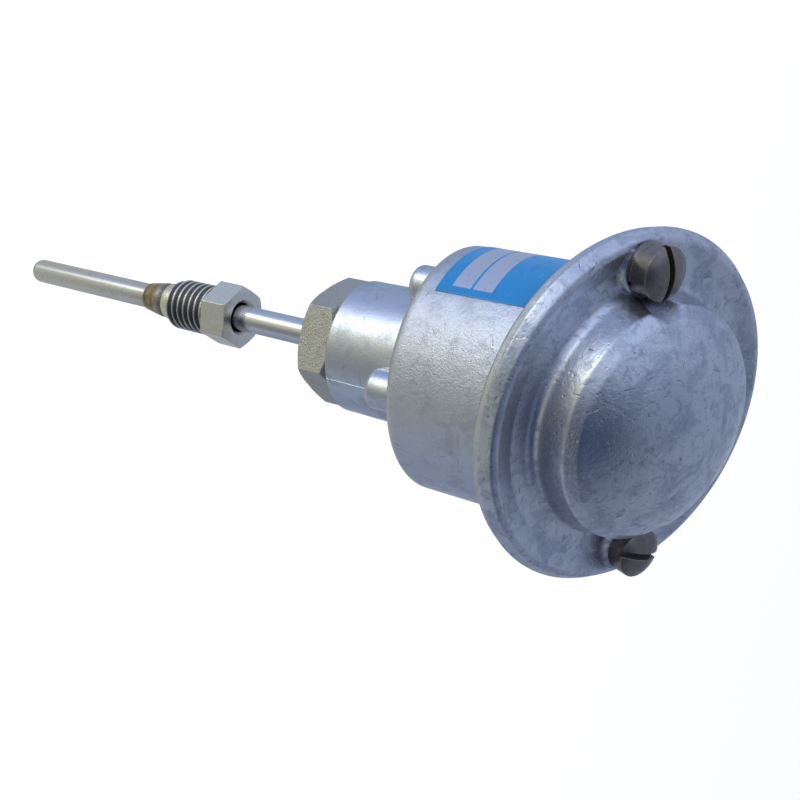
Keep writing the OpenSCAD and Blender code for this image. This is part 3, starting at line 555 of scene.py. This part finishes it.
# What each piece wears
wears = {
    "head_body": "head", "cap": "cap", "cap_gasket": "rubber", "cap_screw_a": "capScrew",
    "cap_screw_b": "capScrew", "cap_washer": "capScrew", "label": "label", "neck_adapter": "adapter",
    "neck_seal": "fibre", "sheath_tube": "sheath", "sealing_cone": "cone", "pressure_screw": "pressureScrew",
    "sensing_element": "ceramic", "mineral_fill": "mineral", "end_seal": "resin", "insert_plate": "plate",
    "terminal_block": "ceramic", "block_screw_a": "zinc", "block_screw_b": "zinc",
    "block_spring_a": "spring", "block_spring_b": "spring", "gland_ring": "rubber", "gland_body": "gland",
    "gland_grip": "rubber", "gland_nut": "gland",
}
for i in range(1, 5):
    wears[f"terminal_{i}"] = "brass"
    wears[f"terminal_screw_{i}"] = "zinc"
    wears[f"lead_{i}"] = "redLead" if i < 3 else "whiteLead"


def dress(obj, look):
    obj.data.materials.clear()
    obj.data.materials.append(looks[look])


for name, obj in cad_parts.items():
    dress(obj, wears[name])
print("finishes on", len(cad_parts), "pieces")


def addObject(name, data):
    obj = bpy.data.objects.new(name, data)
    scene.collection.objects.link(obj)
    return obj


# Closed surface from rows of points: each row runs once round the axis, and the last row joins the first
def meshFromRows(name, rows):
    points = np.asarray(rows)
    m, n = points.shape[:2]
    a = np.arange(m * n).reshape(m, n)
    b, c = np.roll(a, -1, 0), np.roll(a, -1, 1)
    d = np.roll(b, -1, 1)
    quads = np.stack([a, c, d, b], -1).reshape(-1, 4)
    mesh = bpy.data.meshes.new(name)
    mesh.from_pydata((points.reshape(-1, 3) * mm).tolist(), [], quads.tolist())
    return addObject(name, mesh)


# Merges doubled points, takes out loose edges, points the faces outwards and marks the sharp edges
def tidyMesh(obj, merge=1e-7, sharp=32):
    b = bmesh.new()
    b.from_mesh(obj.data)
    bmesh.ops.remove_doubles(b, verts=b.verts, dist=merge)
    bmesh.ops.dissolve_degenerate(b, edges=b.edges, dist=merge)
    bmesh.ops.delete(b, geom=[e for e in b.edges if not e.link_faces], context="EDGES")
    bmesh.ops.recalc_face_normals(b, faces=b.faces)
    b.to_mesh(obj.data)
    b.free()
    obj.data.polygons.foreach_set("use_smooth", np.ones(len(obj.data.polygons), bool))
    obj.data.set_sharp_from_angle(angle=math.radians(sharp))
    obj.data.update()


# Pressure screw in millimetres, with the hexagon's foot at height 0: nose, rolled thread, hexagon and bore
# as one turned surface. The groove is given over one pitch, as (share of the pitch, share of the depth).
screw = dict(
    noseEnd=-15.45, noseRadius=4.4, noseRound=0.4, threadFrom=-12.4, pitch=1.75, major=6.0, depth=0.86,
    groove=((0.0, 0.0), (0.08, 0.0), (0.12, 0.08), (0.36, 0.9), (0.42, 1.0), (0.68, 1.0), (0.74, 0.9),
            (0.96, 0.08)),
    chamfer=0.9, chamferStep=0.25, runOut=0.9, acrossFlats=13.0, hexHeight=7.2, hexTurn=19.5, hexChamfer=0.9,
    hexChamferSlope=0.62, bore=3.4, sink=0.8, around=192, hexRows=4, boreRows=7)


# Radius as a function of turn and height: V-grooves whose phase climbs one pitch per turn, held back by the
# front chamfer and fading out at the hexagon; above it the hexagon's flats, cut by the cone of its chamfer
def makePressureScrew(k):
    start = np.radians(k["hexTurn"])
    t = start + np.linspace(0, 2 * np.pi, k["around"], endpoint=False)
    low, end, top = k["threadFrom"], k["noseEnd"], k["hexHeight"]

    def ring(r, z):  # one number serves the whole ring
        return np.stack([r * np.cos(t), r * np.sin(t), z + 0 * t], -1)

    rows = [ring(k["bore"], end)]
    for q in np.radians([0, 30, 60, 90]):  # rounded end of the nose
        inward, upward = k["noseRound"] * (1 - np.sin(q)), k["noseRound"] * (1 - np.cos(q))
        rows.append(ring(k["noseRadius"] - inward, end + upward))
    rows.append(ring(k["noseRadius"], low))

    # thread: rings that climb with the turn, so that each keeps to one place of the groove
    lead = (t - start) / (2 * np.pi)
    phases, depths = (list(x) for x in zip(*k["groove"]))
    turns = math.ceil(-low / k["pitch"]) + 1
    steps = np.add.outer(np.arange(-1, turns), phases).reshape(-1, 1)
    z = np.clip(low + (steps + lead) * k["pitch"], low, 0)
    phase = np.mod((z - low) / k["pitch"] - lead, 1.0)
    groove = np.interp(phase, phases + [1.0], depths + depths[:1])
    fade = np.clip(-z / k["runOut"], 0, 1) ** 0.5
    slope = (k["major"] - k["noseRadius"]) / k["chamfer"]
    front = k["noseRadius"] + k["chamferStep"] + (z - low) * slope
    rows.extend(ring(np.minimum(k["major"] - k["depth"] * groove * fade, front), z))

    # hexagon from its foot to its chamfered top, then the bore back down to the nose
    flat = k["acrossFlats"] / 2
    corner = flat / math.cos(math.radians(30))
    hexagon = flat / np.cos(np.mod(t - start, np.radians(60)) - np.radians(30))
    cut = (corner - flat) * k["hexChamfer"]
    edge = np.minimum(top, top + (corner - cut - hexagon) * k["hexChamferSlope"])
    rows += [ring(k["major"], 0), ring(hexagon, 0)]
    rows += [ring(hexagon, edge * s) for s in np.linspace(0, 1, k["hexRows"] + 1)[1:]]
    rows += [ring(np.minimum(corner - cut, hexagon), top), ring(k["bore"] + k["sink"], top)]
    rows += [ring(k["bore"], top - k["sink"])]
    rows += [ring(k["bore"], end + (top - k["sink"] - end) * s) for s in np.linspace(0.9, 0.1, k["boreRows"])]
    obj = meshFromRows("pressure_screw_turned", rows)
    tidyMesh(obj)
    dress(obj, "pressureScrew")
    return obj


screwPiece = makePressureScrew(screw)
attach(screwPiece, "screw")
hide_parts("pressure_screw")
print("pressure screw made,", len(screwPiece.data.polygons), "faces")


# Rounds the corner b of the path a-b-c with an arc of the given radius that touches both sides
def roundCorner(a, b, c, radius, steps=9):
    a, b, c = np.array(a), np.array(b), np.array(c)
    u, w = (a - b) / np.linalg.norm(a - b), (c - b) / np.linalg.norm(c - b)
    half = math.acos(float(np.clip(u @ w, -1, 1))) / 2
    back = radius / math.tan(half)
    centre = b + (u + w) / np.linalg.norm(u + w) * radius / math.sin(half)
    p, q = b + u * back - centre, b + w * back - centre
    s = np.linspace(0, 1, steps)[:, None]
    arc = p * (1 - s) + q * s
    return centre + arc / np.linalg.norm(arc, axis=1)[:, None] * radius


# Points along a path, no further apart than the spacing
def evenPath(points, spacing):
    out = [points[:1]]
    for a, b in zip(points[:-1], points[1:]):
        n = max(1, math.ceil(np.linalg.norm(b - a) / spacing))
        out.append(a + (b - a) * np.linspace(0, 1, n + 1)[1:, None])
    return np.concatenate(out)


# The smaller of two heights, with the corner between them filled over the given width
def smoothMin(a, b, width):
    k = np.clip(0.5 + 0.5 * (b - a) / width, 0, 1)
    return b + (a - b) * k - width * k * (1 - k)


# Cast cap in millimetres. Its own axis leans by the tilt and crosses the probe's axis at seatAt; heights
# are along it. A corner of the outside is (radius, height, rounding), from the rim to the crown; the
# gasket's groove is (inner radius, outer radius, height of its roof).
capShape = dict(
    tilt=22.7, seatAt=100.5, rim=(34.6, 2.2), rimLip=0.15,
    corners=dict(rimEdge=(34.6, 2.7, 0.7), brow=(33.3, 4.6, 0.6), ridge=(32.2, 4.95, 0.6),
                 ring=(28.6, 3.9, 1.0), foot=(23.7, 3.9, 2.0), waist=(22.6, 10.5, 0.9),
                 shoulder=(20.8, 12.6, 1.6)),
    crownRadius=36.0, top=19.0, crownInset=3.0, crownSteps=56,
    wall=2.4, shoulderWall=1.6, footWall=2.8, wallFoot=2.0, innerRound=1.6, roofFrom=1.5, roofInset=4.5,
    roofSteps=12, groove=(23.35, 25.15, 3.0),
    screwAt=28.3, holeRadius=2.8, holeDeep=12.0, holeAround=48,
    seatHeight=5.1, seatRadius=5.1, seatSlope=2.5,
    recessRadius=5.3, recessSlope=3.0, recessRound=0.8, recessReach=1.0,
    around=400, spacing=0.5, innerSpacing=2.0)


# Height of the outside over radius and turn: the turned profile, raised to a round seat at each screw and
# cut down to it by a bowl whose wall climbs steadily away from the screw. The inside is the same profile
# moved in by the wall's thickness.
def makeCap(k):
    rim, low = k["rim"]
    corners = [np.array(x) for x in k["corners"].values()]
    ridge, foot, shoulder = (k["corners"][x] for x in ("ridge", "foot", "shoulder"))
    tilt = math.radians(k["tilt"])
    c, s = math.cos(tilt), math.sin(tilt)

    def crown(r, drop=0.0):
        return k["top"] - k["crownRadius"] + np.sqrt((k["crownRadius"] - drop) ** 2 - r ** 2)

    def place(r, h, t):
        x, y = r * np.cos(t), r * np.sin(t)
        return np.stack([x * c - h * s, y, k["seatAt"] + x * s + h * c], -1)

    # outside, from the rim's foot over the corners to the middle of the crown
    r = np.linspace(shoulder[0] - k["crownInset"], 0.0, k["crownSteps"])
    dome = np.stack([r, crown(r)], -1)
    ends = [np.array((rim, low + k["rimLip"])), *[x[:2] for x in corners], dome[0]]
    bends = [roundCorner(*ends[i:i + 3], x[2]) for i, x in enumerate(corners)]
    outer = np.concatenate([[(rim - k["rimLip"], low)], ends[:1], *bends, dome])
    outer = evenPath(outer, k["spacing"])

    # inside, from the middle down the wall to the gasket's groove
    wall = foot[0] - k["footWall"]
    r = np.linspace(k["roofFrom"], shoulder[0] - k["roofInset"], k["roofSteps"])
    roof = np.stack([r, crown(r, k["wall"])], -1)
    inside = (shoulder[0] - k["shoulderWall"], shoulder[1] - k["wall"])
    bend = roundCorner(roof[-1], inside, (wall, low), k["innerRound"], steps=6)
    a, b, deep = k["groove"]
    below = [(wall, low + k["wallFoot"]), (wall, low), (a, low), (a, deep), (b, deep), (b, low)]
    inner = np.concatenate([[(0.0, crown(0.0, k["wall"]))], roof, bend, below])
    inner = evenPath(inner, k["innerSpacing"])

    # outside heights over radius and turn, with the bowl and the seat round each screw
    t = np.linspace(0, 2 * np.pi, k["around"], endpoint=False)
    r, h = outer[:, :1], outer[:, 1:]
    off = np.hypot(r * np.cos(t), np.abs(r * np.sin(t)) - k["screwAt"])
    bowl = k["seatHeight"] + np.maximum(0, off - k["recessRadius"]) * k["recessSlope"]
    seat = k["seatHeight"] - np.maximum(0, off - k["seatRadius"]) * k["seatSlope"]
    h = np.where(r < ridge[0] + k["recessReach"], smoothMin(h, bowl, k["recessRound"]), h)
    h = np.where(r < ridge[0], np.maximum(h, seat), h)
    obj = meshFromRows("cap_cast", np.concatenate([place(r, h, t), place(inner[:, :1], inner[:, 1:], t)]))
    tidyMesh(obj)

    # holes of the cap screws, cut by a cylinder that is removed afterwards
    t = np.linspace(0, 2 * np.pi, k["holeAround"], endpoint=False)
    wide, deep = k["holeRadius"], k["holeDeep"]
    drill = np.array([(0, 0), (wide, 0), (wide, deep), (0, deep)])
    for side in (-1, 1):
        tool = meshFromRows("holeTool", place(drill[:, :1], drill[:, 1:], t))
        tool.data.transform(Matrix.Translation((0, side * k["screwAt"] * mm, 0)))
        tidyMesh(tool)
        cut = obj.modifiers.new("hole", "BOOLEAN")
        cut.operation, cut.solver, cut.object = "DIFFERENCE", "EXACT", tool
        mesh = bpy.data.meshes.new_from_object(obj.evaluated_get(bpy.context.evaluated_depsgraph_get()))
        obj.modifiers.clear()
        obj.data = mesh
        bpy.data.objects.remove(tool)
    tidyMesh(obj)
    dress(obj, "cap")
    return obj


capPiece = makeCap(capShape)
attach(capPiece, "probe")
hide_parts("cap")
print("cap made,", len(capPiece.data.polygons), "faces")


# Unit vector towards a turn about the part's axis and a rise above the level, in degrees
def direction(turn, rise):
    a, e = math.radians(turn), math.radians(rise)
    return Vector((math.cos(a) * math.cos(e), math.sin(a) * math.cos(e), math.sin(e)))


# Camera: looks down on the low side of the cap, rolled so that the probe lies to the left
camera = dict(lens=49.22, sensor=36.0, azimuth=150.7, elevation=31.2, roll=104.62, distance=0.2048,
              aim=(-0.0230, 0.0023, 0.0669), clip=(0.005, 50))


def placeCamera(k):
    back = direction(k["azimuth"], k["elevation"])
    side = direction(k["azimuth"] + 90, 0)
    roll = math.radians(k["roll"])
    right = side * math.cos(roll) + back.cross(side) * math.sin(roll)
    data = bpy.data.cameras.new("camera")
    data.lens, data.sensor_width = k["lens"], k["sensor"]
    data.clip_start, data.clip_end = k["clip"]
    obj = addObject("camera", data)
    m = Matrix((right, back.cross(right), back)).transposed().to_4x4()
    m.translation = Vector(k["aim"]) + back * k["distance"]
    obj.matrix_world = m
    scene.camera = obj


placeCamera(camera)


# Floor, key lamp, and the room that the metal mirrors: a pale window on one side, a dark corner on the next
# and a soft blue daylight all round. A low and a high row give its colours as (turn in degrees, colour);
# they meet about the level, and heights are those of a unit sphere. A pale sill stands in the dark corner,
# the ground's colour lies below and one more is overhead.
studio = dict(
    floorGap=12 * mm, floorReach=3.0, floorColour=(0.9, 0.9, 0.9), floorRough=0.9,
    floorShade=(0.34, 0.34, 0.35), floorGlow=0.8, sky=(0.92, 0.95, 1.0), fill=0.55,
    keyTurn=100.0, keyRise=38.0, keyDistance=0.6, keySize=0.4, keyPower=2.6,
    overhead=(0.24, 0.29, 0.41), overheadHeights=(0.84, 1.0),
    ground=(0.50, 0.52, 0.47), groundHeights=(-0.62, -0.8),
    sill=(0.44, 0.47, 0.43), sillTurns=(140, 158, 205, 238), sillHeights=(-0.42, -0.28, 0.02, 0.16),
    level=(-0.28, 0.25),
    low=((-30, (0.60, 0.66, 0.76)), (0, (0.32, 0.42, 0.60)), (50, (0.40, 0.50, 0.74)),
         (80, (0.42, 0.55, 0.92)), (99, (0.64, 0.80, 1.25)), (110, (2.25, 2.50, 2.90)),
         (121, (3.40, 3.55, 3.45)), (136, (1.02, 1.03, 0.86)), (158, (0.58, 0.60, 0.52)),
         (178, (0.28, 0.30, 0.29)), (200, (0.22, 0.25, 0.31)), (225, (0.40, 0.46, 0.60)),
         (285, (0.27, 0.31, 0.43))),
    high=((-30, (0.30, 0.36, 0.49)), (20, (0.38, 0.44, 0.62)), (60, (0.53, 0.63, 0.88)),
          (100, (0.60, 0.74, 1.08)), (122, (0.68, 0.78, 1.05)), (142, (0.55, 0.61, 0.80)),
          (160, (0.16, 0.19, 0.28)), (180, (0.03, 0.05, 0.12)), (204, (0.01, 0.03, 0.09)),
          (222, (0.06, 0.09, 0.16)), (245, (0.19, 0.22, 0.31)), (290, (0.29, 0.34, 0.46))))


# For the camera a white glow lies under a thin layer of shade, so that only the shadow is darker than white;
# from below the floor is clear
def makeFloor(k):
    z, s = cadBox[0].z - k["floorGap"], k["floorReach"]
    mesh = bpy.data.meshes.new("floor")
    mesh.from_pydata([(-s, -s, z), (s, -s, z), (s, s, z), (-s, s, z)], [], [(0, 1, 2, 3)])
    obj = addObject("floor", mesh)
    obj.visible_glossy = False
    m = bpy.data.materials.new("floor")
    m.use_nodes = True
    t = m.node_tree
    plain = t.nodes["Principled BSDF"]
    plain.inputs["Base Color"].default_value = (*k["floorColour"], 1)
    plain.inputs["Roughness"].default_value = k["floorRough"]
    plain.inputs["Specular IOR Level"].default_value = 0.0
    shade = put(t, "ShaderNodeBsdfDiffuse", {"Color": (*k["floorShade"], 1)}).outputs[0]
    glow = put(t, "ShaderNodeEmission", {"Color": (1, 1, 1, 1), "Strength": k["floorGlow"]}).outputs[0]
    seen = put(t, "ShaderNodeAddShader", {0: shade, 1: glow}).outputs[0]
    top = mixShader(t, put(t, "ShaderNodeLightPath").outputs["Is Camera Ray"], plain.outputs[0], seen)
    under = put(t, "ShaderNodeNewGeometry").outputs["Backfacing"]
    clear = put(t, "ShaderNodeBsdfTransparent").outputs[0]
    t.links.new(mixShader(t, under, top, clear), t.nodes["Material Output"].inputs["Surface"])
    obj.data.materials.append(m)


# One row of the room: colours over the turn, from the row's first one round to itself
def roomRow(t, turn, row):
    start = row[0][0]
    along = calc(t, "FRACT", calc(t, "ADD", calc(t, "SUBTRACT", turn, start / 360), 1.0))
    stops = [((a - start) / 360, (*colour, 1)) for a, colour in row]
    return colourRamp(t, along, stops + [(1.0, stops[0][1])])


# White for the camera and through glass, the room for what mirrors it, and a plain sky for the rest
def makeSurround(k):
    world = bpy.data.worlds.new("studio")
    scene.world = world
    world.use_nodes = True
    t = world.node_tree
    soft = t.nodes["Background"]
    soft.inputs[0].default_value = (*k["sky"], 1)
    soft.inputs[1].default_value = k["fill"]
    white = put(t, "ShaderNodeBackground", {0: (1, 1, 1, 1), 1: 1.0}).outputs[0]
    x, y, z = split(t, put(t, "ShaderNodeTexCoord").outputs["Generated"])
    turn = calc(t, "DIVIDE", calc(t, "ARCTAN2", y, x), 2 * math.pi)
    degrees = calc(t, "MULTIPLY", calc(t, "FRACT", calc(t, "ADD", turn, 1.0)), 360.0)
    room = blendColour(t, ramp(t, z, *k["level"]), roomRow(t, turn, k["low"]), roomRow(t, turn, k["high"]))
    sill = calc(t, "MULTIPLY", between(t, degrees, k["sillTurns"]), between(t, z, k["sillHeights"]))
    room = blendColour(t, sill, room, (*k["sill"], 1))
    room = blendColour(t, ramp(t, z, *k["groundHeights"]), room, (*k["ground"], 1))
    room = blendColour(t, ramp(t, z, *k["overheadHeights"]), room, (*k["overhead"], 1))
    mirrored = put(t, "ShaderNodeBackground", {0: room, 1: 1.0}).outputs[0]
    ray = put(t, "ShaderNodeLightPath").outputs
    light = mixShader(t, ray["Is Glossy Ray"], soft.outputs[0], mirrored)
    clear = calc(t, "MAXIMUM", ray["Is Camera Ray"], ray["Is Transmission Ray"])
    t.links.new(mixShader(t, clear, light, white), t.nodes["World Output"].inputs["Surface"])


# A round lamp aimed where the camera looks; metal mirrors the room and not the lamp
def makeKeyLamp(k):
    data = bpy.data.lights.new("key", "AREA")
    data.shape, data.size, data.energy = "DISK", k["keySize"], k["keyPower"]
    obj = addObject("key", data)
    obj.visible_glossy = False
    away = direction(k["keyTurn"], k["keyRise"])
    stand = Matrix.Translation(Vector(camera["aim"]) + away * k["keyDistance"])
    obj.matrix_world = stand @ away.to_track_quat("Z", "Y").to_matrix().to_4x4()


makeFloor(studio)
makeSurround(studio)
makeKeyLamp(studio)
scene.view_settings.view_transform = "Standard"
print("camera, floor, room and key lamp placed")
